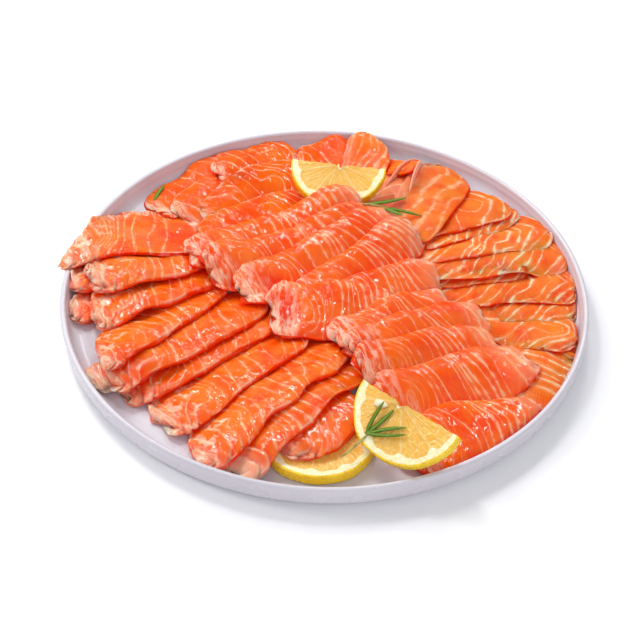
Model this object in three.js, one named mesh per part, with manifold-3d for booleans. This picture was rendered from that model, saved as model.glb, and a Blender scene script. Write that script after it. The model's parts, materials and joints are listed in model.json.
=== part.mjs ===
// A round stoneware plate piled with raw salmon strips, lemon slices and rosemary.
// Millimetres, +Z up, origin on the table under the middle of the plate. The front faces -Y.

import * as THREE from 'three';
import { mergeVertices } from 'three/addons/utils/BufferGeometryUtils.js';
import Module from 'manifold-3d';

const wasm = await Module();
wasm.setup();

// ---------------------------------------------------------------- driving dimensions

const PLATE = {
  radius: 150,
  height: 16,
  floor: 5,
  wall: 3.4,
  footInner: 92,
  footOuter: 104,
  footHeight: 2,
  outerCurve: 5,
  innerCurve: 7,
  segments: 64,
};

const CLEARANCE = 0.35;
const INNER_LIMIT = 145.4;

const LOOK = {
  glaze: { color: 0xe4e1e6, roughness: 0.3, metalness: 0 },
  flesh: { color: 0xf4703c, roughness: 0.35, metalness: 0 },
  lemon: { color: 0xf3cf4a, roughness: 0.4, metalness: 0 },
  leaf: { color: 0x3f5f2a, roughness: 0.6, metalness: 0 },
};

// Strips of salmon in the order they are laid. `edge` runs along the long edge that shows, from one
// end of the strip to the other. The strip lies to the left of that direction where `side` is 1, and
// to the right where it is -1. `bow` bends it, `tips` are the lengths over which its ends round off,
// `narrow` is how wide its ends are beside its middle, `skew` is 1 where it narrows from its back only,
// `slant` is how far each end's front corner runs on past its middle, `lift` raises its edge, its back,
// its start and its end off what lies underneath, `limit` is how far from the plate's middle it reaches,
// `overhang` is how much further its start does, and `sag` and `rounds` say how softly it drapes.
const STRIP = {
  bow: 0,
  narrow: 0.5,
  skew: 0,
  slant: [0, 0],
  lift: [0, 0, 0, 0],
  limit: INNER_LIMIT,
  overhang: 0,
  sag: 0.1,
  rounds: 80,
};
const WEST = { ...STRIP, fan: 'west', side: 1, width: 33, thick: 7.5, tips: [8, 22] };
const EAST = { ...STRIP, fan: 'east', side: 1, width: 32, thick: 5.5, tips: [18, 14] };
const NORTH = { ...STRIP, fan: 'north', side: -1, width: 32, thick: 6, tips: [14, 16] };
const CENTRE = { ...STRIP, fan: 'centre', side: -1, width: 33, thick: 7, tips: [11, 16] };

const WEST_STRIPS = [
  { edge: [[-10, -133], [29, -94]], tips: [14, 16], bow: 2 },
  { edge: [[-34, -141], [31, -58]] },
  { edge: [[-49, -135], [20, -49]], width: 36, tips: [12, 22], slant: [8, 0] },
  { edge: [[-72, -113], [-4, -42]], width: 33 },
  { edge: [[-97, -92], [-16, -22]], bow: 2 },
  { edge: [[-121, -84], [-84, -60]], width: 22, thick: 5, tips: [8, 8] },
  { edge: [[-105, -87], [-27, -17]], slant: [3, 0] },
  { edge: [[-108, -72], [-50, 2]], tips: [5, 22], slant: [8, 0] },
  { edge: [[-146, -30], [-92, -16]], width: 24, thick: 7, tips: [8, 10] },
  { edge: [[-121, -37], [-56, 6]], bow: 2, tips: [5, 22], slant: [5, 0] },
  { edge: [[-147, -12], [-96, 8]], width: 30, thick: 9, tips: [16, 12] },
  { edge: [[-125, -18], [-60, 20]], bow: 2 },
  {
    edge: [[-142, 10], [-76, 27]],
    width: 54,
    tips: [16, 26],
    narrow: 0.4,
    skew: 1,
    slant: [6, 0],
    limit: 143,
    overhang: 10,
  },
];

const EAST_STRIPS = [
  { edge: [[124, -72], [143, -24]], width: 24 },
  { edge: [[121, -82], [141, -44]], width: 32, bow: 2 },
  { edge: [[92, -25], [135, -44]], bow: 3 },
  { edge: [[82, -10], [144, -14]], bow: 1 },
  { edge: [[68, -1], [148, 2]], bow: 1, lift: [0.8, 0, 0, 0] },
  { edge: [[63, 11], [120, 20]] },
  { edge: [[64, 12], [149, 30]] },
  { edge: [[62, 26], [140, 52]], tips: [18, 24] },
  { edge: [[64, 39], [120, 76]], width: 26 },
  { edge: [[60, 46], [113, 77]], width: 36, slant: [0, 4], limit: 142 },
  { edge: [[36, 60], [85, 104]], width: 28, limit: 141 },
  { edge: [[17, 72], [47, 124]], side: -1, width: 26, bow: 2, lift: [3, 0, 0, 0], limit: 144 },
  { edge: [[35, 54], [61, 127]], side: -1, width: 32, lift: [4, 0, 0, 0], limit: 144 },
];

const NORTH_STRIPS = [
  { edge: [[-116, 84], [-62, 138]] },
  { edge: [[-99, 76], [-56, 121]] },
  { edge: [[-76, 113], [-20, 142]], width: 30, bow: 7, limit: 149 },
  { edge: [[-81, 71], [-28, 128]] },
  { edge: [[-84, 55], [-16, 98]] },
  { edge: [[-24, 131], [26, 141]], width: 42, bow: 8, limit: 149, lift: [3, 0, 0, 0] },
  { edge: [[28, 137], [60, 118]], width: 20, thick: 5, limit: 147 },
  { edge: [[4, 104], [15, 144]], width: 27, slant: [0, 4], limit: 149, lift: [0, 0, 0, 5] },
];

const CENTRE_STRIPS = [
  { edge: [[-86, 34], [13, 86]], bow: 3 },
  { edge: [[-76, 20], [22, 74]], bow: 2 },
  { edge: [[-57, 5], [32, 69]], bow: 2 },
  { edge: [[-23, 2], [42, 60]], width: 30, bow: -1 },
  { edge: [[-4, -2], [58, 30]], width: 30, bow: 3 },
  { edge: [[-32, -1], [47, 4]], width: 42, tips: [8, 20] },
  { edge: [[-1, -34], [62, 11]], bow: -1 },
  { edge: [[9, -43], [82, 1]] },
  { edge: [[14, -56], [88, -18]] },
  { edge: [[22, -76], [98, -36]], width: 38 },
  { edge: [[38, -98], [117, -76]], width: 45, tips: [22, 16], bow: 4, slant: [6, 0] },
];

// Lemon slices: how far each leans towards the front, which way its face turns and where its middle
// lies. A half slice's straight edge passes through that middle.
const LEMON = { thickness: 6.5, notch: 2.5, segments: 32 };
const WHOLE_SLICE = { radius: 31, middle: [-1, -107], turn: 0, lean: 0 };
const REAR_HALF = { radius: 29, middle: [6, 101], turn: -7, lean: 20 };
const FRONT_HALF = { radius: 30.5, middle: [47, -107], turn: -38, lean: 30 };

// Rosemary: each leaf or stem from its foot to its tip, all that belong to one sprig in one list.
const LEAF = { ...STRIP, side: 1, width: 2.6, thick: 1.8, tips: [4, 6], sag: 0.004, rounds: 500 };
const STEM = { ...LEAF, width: 2, thick: 1.6, tips: [2, 2] };
const SINGLE_LEAF = [{ ...LEAF, edge: [[-105, 80], [-100, 94]] }];
const REAR_SPRIG = [
  { ...STEM, edge: [[21, 66], [34, 63]] },
  { ...LEAF, edge: [[21, 66], [48, 79]] },
  { ...LEAF, edge: [[33, 63], [57, 60]] },
  { ...LEAF, edge: [[33, 63], [45, 53]] },
];
const FRONT_SPRIG = [
  { ...STEM, edge: [[10, -129], [27, -117]] },
  { ...LEAF, edge: [[23, -119], [33, -108]] },
  { ...LEAF, edge: [[23, -119], [38, -111]] },
  { ...LEAF, edge: [[23, -119], [47, -103]] },
  { ...LEAF, edge: [[23, -119], [44, -120]] },
  { ...LEAF, edge: [[23, -119], [44, -124]] },
];

// ---------------------------------------------------------------- solids and meshes

// The flat-shaded mesh of a closed body given as corner points and triangles.
function bodyMesh(name, look, points, triangles) {
  const geometry = new THREE.BufferGeometry();
  geometry.setAttribute('position', new THREE.Float32BufferAttribute(points.flat(), 3));
  geometry.setIndex(triangles.flat());
  return meshOf(name, look, geometry);
}

function meshOf(name, look, geometry) {
  const mesh = new THREE.Mesh(geometry, new THREE.MeshStandardMaterial(look));
  mesh.name = name;
  return mesh;
}

function solidOf(geometry) {
  const bare = geometry.clone();
  bare.deleteAttribute('normal');
  bare.deleteAttribute('uv');
  const merged = mergeVertices(bare, 1e-4);
  const vertProperties = merged.attributes.position.array;
  const triVerts = Uint32Array.from(merged.index.array);
  return new wasm.Manifold(new wasm.Mesh({ numProp: 3, vertProperties, triVerts }));
}

function cornersOf(geometry) {
  const { array } = geometry.attributes.position;
  return Array.from({ length: array.length / 3 }, (_, k) => [...array.slice(3 * k, 3 * k + 3)]);
}

function trianglesOf(geometry) {
  const { array } = geometry.index;
  return Array.from({ length: array.length / 3 }, (_, k) => [...array.slice(3 * k, 3 * k + 3)]);
}

function geometryOf(solid) {
  const mesh = solid.getMesh();
  const geometry = new THREE.BufferGeometry();
  geometry.setAttribute('position', new THREE.BufferAttribute(mesh.vertProperties, 3));
  geometry.setIndex(new THREE.BufferAttribute(mesh.triVerts, 1));
  return geometry;
}

// A repeatable random number from 0 to 1 for whole numbers a and b.
function chance(a, b) {
  const value = Math.sin(a * 127.1 + b * 311.7) * 43758.5453;
  return value - Math.floor(value);
}

// ---------------------------------------------------------------- plate

function arcPoints(centreX, centreZ, radius, from, to, steps) {
  const points = [];
  for (let i = 0; i <= steps; i++) {
    const angle = THREE.MathUtils.degToRad(from + ((to - from) * i) / steps);
    points.push(new THREE.Vector2(centreX + radius * Math.cos(angle), centreZ + radius * Math.sin(angle)));
  }
  return points;
}

// Half the plate's section, from the middle of its underside round to the middle of its floor.
function plateProfile() {
  const { radius, height, floor, wall, footInner, footOuter, footHeight, outerCurve, innerCurve } = PLATE;
  const rim = wall / 2;
  const innerWall = radius - wall - 1;
  return [
    new THREE.Vector2(0, footHeight),
    new THREE.Vector2(footInner - footHeight, footHeight),
    new THREE.Vector2(footInner, 0),
    new THREE.Vector2(footOuter, 0),
    new THREE.Vector2(footOuter + footHeight, footHeight),
    ...arcPoints(radius - 0.5 - outerCurve, footHeight + outerCurve, outerCurve, -90, 0, 2),
    ...arcPoints(radius - rim, height - rim, rim, 0, 180, 4),
    ...arcPoints(innerWall - innerCurve, floor + innerCurve, innerCurve, 0, -90, 3),
    new THREE.Vector2(0, floor),
  ];
}

function plateMesh() {
  const geometry = new THREE.LatheGeometry(plateProfile(), PLATE.segments);
  geometry.rotateX(Math.PI / 2);
  return meshOf('plate', LOOK.glaze, geometryOf(solidOf(geometry)));
}

// Height of the plate's upper surface at a distance from its middle, on the safe side at its wall.
function plateTop(distance) {
  const { radius, height, floor, wall, innerCurve } = PLATE;
  const margin = 0.5;
  const curveStart = radius - wall - 1 - innerCurve - margin;
  if (distance > radius + 1) return 0;
  if (distance > radius - wall - margin) return height;
  if (distance < curveStart) return floor;
  const across = Math.min((distance - curveStart) / innerCurve, 1);
  const beyond = Math.max(distance - curveStart - innerCurve, 0);
  return floor + innerCurve * (1 - Math.sqrt(1 - across * across)) + 2.5 * beyond;
}

// ---------------------------------------------------------------- the heap

// The height of everything laid so far, on a square grid seen from above.
const HEAP_STEP = 1.25;
const HEAP_REACH = 155;
const HEAP_COUNT = (2 * HEAP_REACH) / HEAP_STEP + 1;
const heap = {
  step: HEAP_STEP,
  reach: HEAP_REACH,
  count: HEAP_COUNT,
  heights: new Float64Array(HEAP_COUNT * HEAP_COUNT),

  index(i, j) {
    return j * this.count + i;
  },

  start() {
    for (let j = 0; j < this.count; j++) {
      for (let i = 0; i < this.count; i++) {
        const x = i * this.step - this.reach;
        const y = j * this.step - this.reach;
        this.heights[this.index(i, j)] = plateTop(Math.hypot(x, y));
      }
    }
  },

  at(x, y) {
    const gx = THREE.MathUtils.clamp((x + this.reach) / this.step, 0, this.count - 1.001);
    const gy = THREE.MathUtils.clamp((y + this.reach) / this.step, 0, this.count - 1.001);
    const i = Math.floor(gx);
    const j = Math.floor(gy);
    const fx = gx - i;
    const fy = gy - j;
    const row = (k) => this.heights[this.index(i, k)] * (1 - fx) + this.heights[this.index(i + 1, k)] * fx;
    return row(j) * (1 - fy) + row(j + 1) * fy;
  },

  // Calls visit(i, j, weights) for each grid point inside the plan of triangle a, b, c.
  over(a, b, c, visit) {
    const area = (b[0] - a[0]) * (c[1] - a[1]) - (c[0] - a[0]) * (b[1] - a[1]);
    if (Math.abs(area) < 1e-6) return;
    const gridOf = (value) => (value + this.reach) / this.step;
    const iFrom = Math.ceil(gridOf(Math.min(a[0], b[0], c[0])));
    const iTo = Math.floor(gridOf(Math.max(a[0], b[0], c[0])));
    const jFrom = Math.ceil(gridOf(Math.min(a[1], b[1], c[1])));
    const jTo = Math.floor(gridOf(Math.max(a[1], b[1], c[1])));
    for (let j = jFrom; j <= jTo; j++) {
      for (let i = iFrom; i <= iTo; i++) {
        const x = i * this.step - this.reach;
        const y = j * this.step - this.reach;
        const wb = ((x - a[0]) * (c[1] - a[1]) - (c[0] - a[0]) * (y - a[1])) / area;
        const wc = ((b[0] - a[0]) * (y - a[1]) - (x - a[0]) * (b[1] - a[1])) / area;
        const wa = 1 - wb - wc;
        if (wa >= -1e-9 && wb >= -1e-9 && wc >= -1e-9) visit(i, j, [wa, wb, wc]);
      }
    }
  },

  // Raises the grid to a body's triangles, and each raised point's eight neighbours with it.
  lay(points, triangles) {
    for (const [ia, ib, ic] of triangles) {
      const [a, b, c] = [points[ia], points[ib], points[ic]];
      this.over(a, b, c, (i, j, [wa, wb, wc]) => {
        const height = wa * a[2] + wb * b[2] + wc * c[2];
        for (let dj = -1; dj <= 1; dj++) {
          for (let di = -1; di <= 1; di++) {
            const cell = this.index(i + di, j + dj);
            this.heights[cell] = Math.max(this.heights[cell], height);
          }
        }
      });
    }
  },
};

// ---------------------------------------------------------------- salmon strips

// Cross-sections: across runs from -1 at the hidden side to 1 at the edge that shows, and up from 0
// underneath to 1 on top. The first `under` corners of a ring are its underside.
const STRIP_SECTION = {
  under: 4,
  ring: [
    [1, 0], [0.35, 0], [-0.35, 0], [-1, 0],
    [-0.93, 0.6], [-0.4, 0.92], [0.35, 1], [0.93, 0.82],
  ],
  stations: (length) => (length > 70 ? 4 : 2),
};
const LEAF_SECTION = { under: 2, ring: [[1, 0], [-1, 0], [-0.5, 1], [0.5, 1]], stations: () => 0 };
const DRAPE = { along: 28, across: 8 };
const END_THICKNESS = 0.5;

// Distances along a strip at which its section is drawn: close together at its rounded ends.
function stationsOf(length, tips, count) {
  const start = [0, 0.3 * tips[0], tips[0]];
  const end = [length - tips[1], length - 0.3 * tips[1], length];
  const middle = [];
  for (let k = 1; k <= count; k++) {
    middle.push(tips[0] + ((length - tips[0] - tips[1]) * k) / (count + 1));
  }
  return [...start, ...middle, ...end];
}

// How full the strip is at a distance along it: `least` at its very ends and 1 past its tips.
function fullness(distance, length, tips, least) {
  const fromStart = Math.min(distance / tips[0], 1);
  const fromEnd = Math.min((length - distance) / tips[1], 1);
  const nearest = Math.max(Math.min(fromStart, fromEnd), 0);
  return least + (1 - least) * Math.sqrt(1 - (1 - nearest) ** 2);
}

// The plan of a strip: gives the point at a distance along it and a place across it.
function planOf(strip) {
  const start = new THREE.Vector2(...strip.edge[0]);
  const end = new THREE.Vector2(...strip.edge[1]);
  const length = start.distanceTo(end);
  const along = end.clone().sub(start).divideScalar(length);
  const outward = new THREE.Vector2(along.y, -along.x).multiplyScalar(strip.side);
  const half = strip.width / 2;
  const place = (distance, across) => {
    const part = distance / length;
    const bend = strip.bow * 4 * part * (1 - part);
    const full = fullness(distance, length, strip.tips, strip.narrow);
    const reach = bend - half * (1 - strip.skew * (1 - full)) + across * half * full;
    const slide = across * full * (strip.slant[1] * part ** 3 - strip.slant[0] * (1 - part) ** 3);
    const point = start.clone().addScaledVector(along, distance + slide).addScaledVector(outward, reach);
    return keptInside(point, strip.limit + strip.overhang * Math.max(1 - 6 * part, 0));
  };
  return { length, place };
}

// Squeezes a point towards the plate's middle, so that nothing passes the limiting radius.
function keptInside(point, limit) {
  const softness = 5;
  const distance = point.length();
  const over = distance - (limit - softness);
  if (over <= 0) return point;
  return point.multiplyScalar((limit - softness * Math.exp(-over / softness)) / distance);
}

// The surface on which a strip's underside lies: a soft sheet draped over the heap.
function drapeOver(plan, strip) {
  const { along, across } = DRAPE;
  const floor = [];
  for (let i = 0; i <= along; i++) {
    const row = [];
    for (let j = 0; j <= across; j++) {
      const point = plan.place((plan.length * i) / along, (2 * j) / across - 1);
      row.push(heap.at(point.x, point.y) + CLEARANCE);
    }
    floor.push(row);
  }
  let sheet = floor.map((row) => [...row]);
  for (let round = 0; round < strip.rounds; round++) {
    sheet = sheet.map((row, i) => row.map((_, j) => {
      const up = sheet[Math.max(i - 1, 0)][j];
      const down = sheet[Math.min(i + 1, along)][j];
      const left = row[Math.max(j - 1, 0)];
      const right = row[Math.min(j + 1, across)];
      return Math.max(floor[i][j], (up + down + left + right) / 4 - strip.sag);
    }));
  }
  const [edgeLift, backLift, startLift, endLift] = strip.lift;
  return (distance, side) => {
    const part = distance / plan.length;
    const gi = part * along;
    const gj = ((side + 1) / 2) * across;
    const i = Math.min(Math.floor(gi), along - 1);
    const j = Math.min(Math.floor(gj), across - 1);
    const near = sheet[i][j] * (1 - gj + j) + sheet[i][j + 1] * (gj - j);
    const far = sheet[i + 1][j] * (1 - gj + j) + sheet[i + 1][j + 1] * (gj - j);
    const lifted = edgeLift * Math.max(side, 0) ** 2 + backLift * Math.min(side, 0) ** 2;
    const tipped = startLift * (1 - part) ** 3 + endLift * part ** 3;
    return near * (1 - gi + i) + far * (gi - i) + lifted + tipped;
  };
}

// The sides of a strip between its sections, and its two ends closed from the underside to the top.
function stripTriangles(stationCount, ring) {
  const triangles = [];
  for (let k = 0; k + 1 < stationCount; k++) {
    for (let m = 0; m < ring; m++) {
      const a = k * ring + m;
      const b = k * ring + ((m + 1) % ring);
      triangles.push([a, b, b + ring], [a, b + ring, a + ring]);
    }
  }
  const last = (stationCount - 1) * ring;
  for (let m = 0; m + 1 < ring / 2; m++) {
    const above = ring - 1 - m;
    triangles.push([m, above, m + 1], [m + 1, above, above - 1]);
    triangles.push([last + m, last + m + 1, last + above], [last + m + 1, last + above - 1, last + above]);
  }
  return triangles.filter((corners) => new Set(corners).size === 3);
}

// Lifts a body's underside wherever a facet of it would cut into the heap.
function clearHeap(points, triangles, underside) {
  const facets = triangles.filter((triangle) => triangle.every((corner) => underside(corner)));
  for (let round = 0; round < 8; round++) {
    for (const corners of facets) {
      const [a, b, c] = corners.map((corner) => points[corner]);
      heap.over(a, b, c, (i, j, weights) => {
        const height = weights[0] * a[2] + weights[1] * b[2] + weights[2] * c[2];
        const short = heap.heights[heap.index(i, j)] + CLEARANCE - height;
        if (short <= 0) return;
        const share = weights.reduce((sum, weight) => sum + weight * weight, 0);
        corners.forEach((corner, k) => {
          points[corner][2] += (short * weights[k]) / share;
        });
      });
    }
  }
}

// The corners and triangles of a strip or leaf lying on the heap.
function stripBody(strip, section, order) {
  const plan = planOf(strip);
  const underneath = drapeOver(plan, strip);
  const stations = stationsOf(plan.length, strip.tips, section.stations(plan.length));
  const points = [];
  stations.forEach((distance, k) => {
    const wobble = (chance(order, k) - 0.5) * 0.07;
    const swell = 0.9 + 0.2 * chance(order + 50, k);
    const height = strip.thick * swell * fullness(distance, plan.length, strip.tips, END_THICKNESS);
    section.ring.forEach(([across, up]) => {
      const point = plan.place(distance, across + wobble * across * across);
      const backThinning = 1 - 0.25 * (1 - across);
      points.push([point.x, point.y, underneath(distance, across) + up * height * backThinning]);
    });
  });
  const ring = section.ring.length;
  const outward = stripTriangles(stations.length, ring);
  const triangles = strip.side === 1 ? outward : outward.map(([a, b, c]) => [a, c, b]);
  clearHeap(points, triangles, (corner) => corner % ring < section.under);
  easeUnderside(points, section);
  keepThick(points, section, strip.thick * 0.35);
  return { points, triangles };
}

// Raises corners of the underside that lie far below the next section's, so that no facet of it is steep.
function easeUnderside(points, section) {
  const ring = section.ring.length;
  const raise = (corner, other) => {
    if (!points[corner] || !points[other]) return;
    const apart = Math.hypot(points[corner][0] - points[other][0], points[corner][1] - points[other][1]);
    points[corner][2] = Math.max(points[corner][2], points[other][2] - apart);
  };
  for (let round = 0; round < 3; round++) {
    for (let corner = 0; corner < points.length; corner++) {
      if (corner % ring >= section.under) continue;
      raise(corner, corner - ring);
      raise(corner, corner + ring);
    }
  }
}

// Keeps every top corner above the underside beneath it.
function keepThick(points, section, least) {
  const ring = section.ring.length;
  for (let base = 0; base < points.length; base += ring) {
    for (let m = section.under; m < ring; m++) {
      const below = points[base + ring - 1 - m];
      points[base + m][2] = Math.max(points[base + m][2], below[2] + least);
    }
  }
}

function layStrip(name, strip, order) {
  const { points, triangles } = stripBody(strip, STRIP_SECTION, order);
  heap.lay(points, triangles);
  return bodyMesh(name, LOOK.flesh, points, triangles);
}

function layFan(strips, common) {
  strips.forEach((strip, k) => {
    const number = String(k + 1).padStart(2, '0');
    const order = platter.children.length;
    platter.add(layStrip(`salmon_${common.fan}_${number}`, { ...common, ...strip }, order));
  });
}

// ---------------------------------------------------------------- lemon slices

function wholeOutline(radius) {
  return new THREE.Shape().absarc(0, 0, radius, 0, 2 * Math.PI);
}

// A half disc below the X axis, with a small nick in the middle of its straight edge.
function halfOutline(radius) {
  const { notch } = LEMON;
  return new THREE.Shape()
    .moveTo(-radius, 0)
    .absarc(0, 0, radius, Math.PI, 2 * Math.PI)
    .lineTo(notch, 0)
    .lineTo(0, -notch)
    .lineTo(-notch, 0);
}

// A slice is set down rigid: it comes to rest where its underside first meets the heap.
function layLemon(name, outline, slice) {
  const half = LEMON.segments / (slice.lean === 0 ? 1 : 2);
  const settings = { depth: LEMON.thickness, bevelEnabled: false, curveSegments: half };
  const geometry = new THREE.ExtrudeGeometry(outline(slice.radius), settings);
  geometry.rotateX(THREE.MathUtils.degToRad(slice.lean));
  geometry.rotateZ(THREE.MathUtils.degToRad(slice.turn));
  geometry.translate(slice.middle[0], slice.middle[1], 0);
  const solid = geometryOf(solidOf(geometry));
  const points = cornersOf(solid);
  const triangles = trianglesOf(solid);
  let rise = -Infinity;
  for (const [ia, ib, ic] of triangles) {
    const [a, b, c] = [points[ia], points[ib], points[ic]];
    heap.over(a, b, c, (i, j, [wa, wb, wc]) => {
      const height = wa * a[2] + wb * b[2] + wc * c[2];
      rise = Math.max(rise, heap.heights[heap.index(i, j)] + CLEARANCE - height);
    });
  }
  for (const point of points) point[2] += rise;
  heap.lay(points, triangles);
  return bodyMesh(name, LOOK.lemon, points, triangles);
}

// ---------------------------------------------------------------- rosemary

// The leaves and stem of one sprig are laid on the heap together and join where they cross.
function laySprig(name, parts) {
  const bodies = parts.map((part) => stripBody(part, LEAF_SECTION, 0));
  const meshes = bodies.map(({ points, triangles }) => bodyMesh(name, LOOK.leaf, points, triangles));
  const solids = meshes.map((mesh) => solidOf(mesh.geometry));
  const sprig = geometryOf(solids.reduce((whole, solid) => whole.add(solid)));
  for (const { points, triangles } of bodies) heap.lay(points, triangles);
  return meshOf(name, LOOK.leaf, sprig);
}

// ---------------------------------------------------------------- the platter

const platter = new THREE.Group();
heap.start();
platter.add(plateMesh());
platter.add(layLemon('lemon_whole', wholeOutline, WHOLE_SLICE));
layFan(WEST_STRIPS, WEST);
layFan(EAST_STRIPS, EAST);
layFan(NORTH_STRIPS, NORTH);
platter.add(layLemon('lemon_half_rear', halfOutline, REAR_HALF));
layFan(CENTRE_STRIPS, CENTRE);
platter.add(layLemon('lemon_half_front', halfOutline, FRONT_HALF));
platter.add(laySprig('rosemary_leaf', SINGLE_LEAF));
platter.add(laySprig('rosemary_rear', REAR_SPRIG));
platter.add(laySprig('rosemary_front', FRONT_SPRIG));

export default platter;
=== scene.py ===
"""Looks of the raw salmon slice platter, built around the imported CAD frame. Metres, +Z up."""

import json
import math
from types import SimpleNamespace

import bmesh
import bpy
import numpy as np
from mathutils import Matrix, Vector
from mathutils.bvhtree import BVHTree

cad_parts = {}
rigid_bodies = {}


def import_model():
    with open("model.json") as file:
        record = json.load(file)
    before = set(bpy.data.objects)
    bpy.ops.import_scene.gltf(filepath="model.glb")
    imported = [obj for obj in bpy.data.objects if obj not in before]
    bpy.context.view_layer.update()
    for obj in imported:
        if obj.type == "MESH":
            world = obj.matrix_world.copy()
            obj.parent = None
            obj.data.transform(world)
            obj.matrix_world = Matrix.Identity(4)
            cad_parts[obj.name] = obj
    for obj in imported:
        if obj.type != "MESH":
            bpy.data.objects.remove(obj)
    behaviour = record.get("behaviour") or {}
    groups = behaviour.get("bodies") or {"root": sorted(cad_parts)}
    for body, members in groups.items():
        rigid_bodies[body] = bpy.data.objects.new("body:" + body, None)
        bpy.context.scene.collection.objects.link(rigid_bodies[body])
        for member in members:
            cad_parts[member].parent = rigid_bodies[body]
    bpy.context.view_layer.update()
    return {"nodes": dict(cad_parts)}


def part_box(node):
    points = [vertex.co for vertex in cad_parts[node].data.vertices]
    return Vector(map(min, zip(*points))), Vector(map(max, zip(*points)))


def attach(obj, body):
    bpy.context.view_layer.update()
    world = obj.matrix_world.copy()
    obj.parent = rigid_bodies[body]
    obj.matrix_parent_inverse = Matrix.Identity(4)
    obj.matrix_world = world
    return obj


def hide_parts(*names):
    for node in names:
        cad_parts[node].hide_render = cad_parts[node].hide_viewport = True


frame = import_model()

MM = 0.001
DOWN = Vector((0, 0, -1))


# -------- camera, light and floor

AIM = Vector((-2.4, -12.8, 2.0)) * MM
CAMERA_DISTANCE = 0.85
CAMERA_ELEVATION = math.radians(43.74)
CAMERA_ROLL = math.radians(1.89)
CAMERA_LENS = 83.8

# Name, place and size in metres, watts and colour of each lamp.
LAMP_WHITE = (1.0, 0.99, 0.97)
LAMPS = [
    ("window", (-0.75, 0.95, 1.15), (0.55, 0.45), 6.4, LAMP_WHITE),
    ("lamp", (-0.55, 0.75, 1.35), (0.3, 0.3), 7.0, LAMP_WHITE),
    ("back lamp", (0.15, 1.15, 1.1), (0.3, 0.3), 5.5, LAMP_WHITE),
    ("side lamp", (-1.25, 0.15, 0.85), (0.32, 0.32), 5.0, LAMP_WHITE),
    ("fill", (0.4, -1.2, 0.95), (1.4, 1.0), 7.6, (0.98, 0.98, 1.0)),
]
SKY_COLOUR = (0.93, 0.95, 1.0, 1)
SKY_STRENGTH = 0.46
FLOOR_COLOUR = (0.96, 0.96, 0.975, 1)
FLOOR_ROUGHNESS = 0.8
FLOOR_HALF = 6.0


def link_object(name, data):
    thing = bpy.data.objects.new(name, data)
    bpy.context.scene.collection.objects.link(thing)
    return thing


def make_camera():
    data = bpy.data.cameras.new("camera")
    data.lens = CAMERA_LENS
    camera = link_object("camera", data)
    tilt = Matrix.Rotation(math.pi / 2 - CAMERA_ELEVATION, 4, "X")
    roll = Matrix.Rotation(CAMERA_ROLL, 4, "Z")
    camera.matrix_world = Matrix.Translation(AIM) @ tilt @ roll @ Matrix.Translation((0, 0, CAMERA_DISTANCE))
    bpy.context.scene.camera = camera


def make_lamp(name, place, size, watts, colour):
    data = bpy.data.lights.new(name, "AREA")
    data.shape = "RECTANGLE"
    data.size, data.size_y = size
    data.energy = watts
    data.color = colour
    lamp = link_object(name, data)
    lamp.location = place
    lamp.rotation_euler = (AIM - Vector(place)).to_track_quat("-Z", "Y").to_euler()


def make_sky():
    world = bpy.data.worlds.new("studio")
    bpy.context.scene.world = world
    world.use_nodes = True
    sky = world.node_tree.nodes["Background"]
    sky.inputs["Color"].default_value = SKY_COLOUR
    sky.inputs["Strength"].default_value = SKY_STRENGTH


def make_floor():
    mesh = bpy.data.meshes.new("floor")
    corners = [(x * FLOOR_HALF, y * FLOOR_HALF, 0) for x, y in ((-1, -1), (1, -1), (1, 1), (-1, 1))]
    mesh.from_pydata(corners, [], [(0, 1, 2, 3)])
    floor = link_object("floor", mesh)
    mesh.materials.append(Nodes("floor").finish(Base_Color=FLOOR_COLOUR, Roughness=FLOOR_ROUGHNESS))


# -------- node helpers

def linear(*display):
    """A colour given as 0 to 255 display values, as linear light with full alpha."""
    parts = [value / 255 for value in display]
    return (*(part / 12.92 if part <= 0.04045 else ((part + 0.055) / 1.055) ** 2.4 for part in parts), 1.0)


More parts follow.
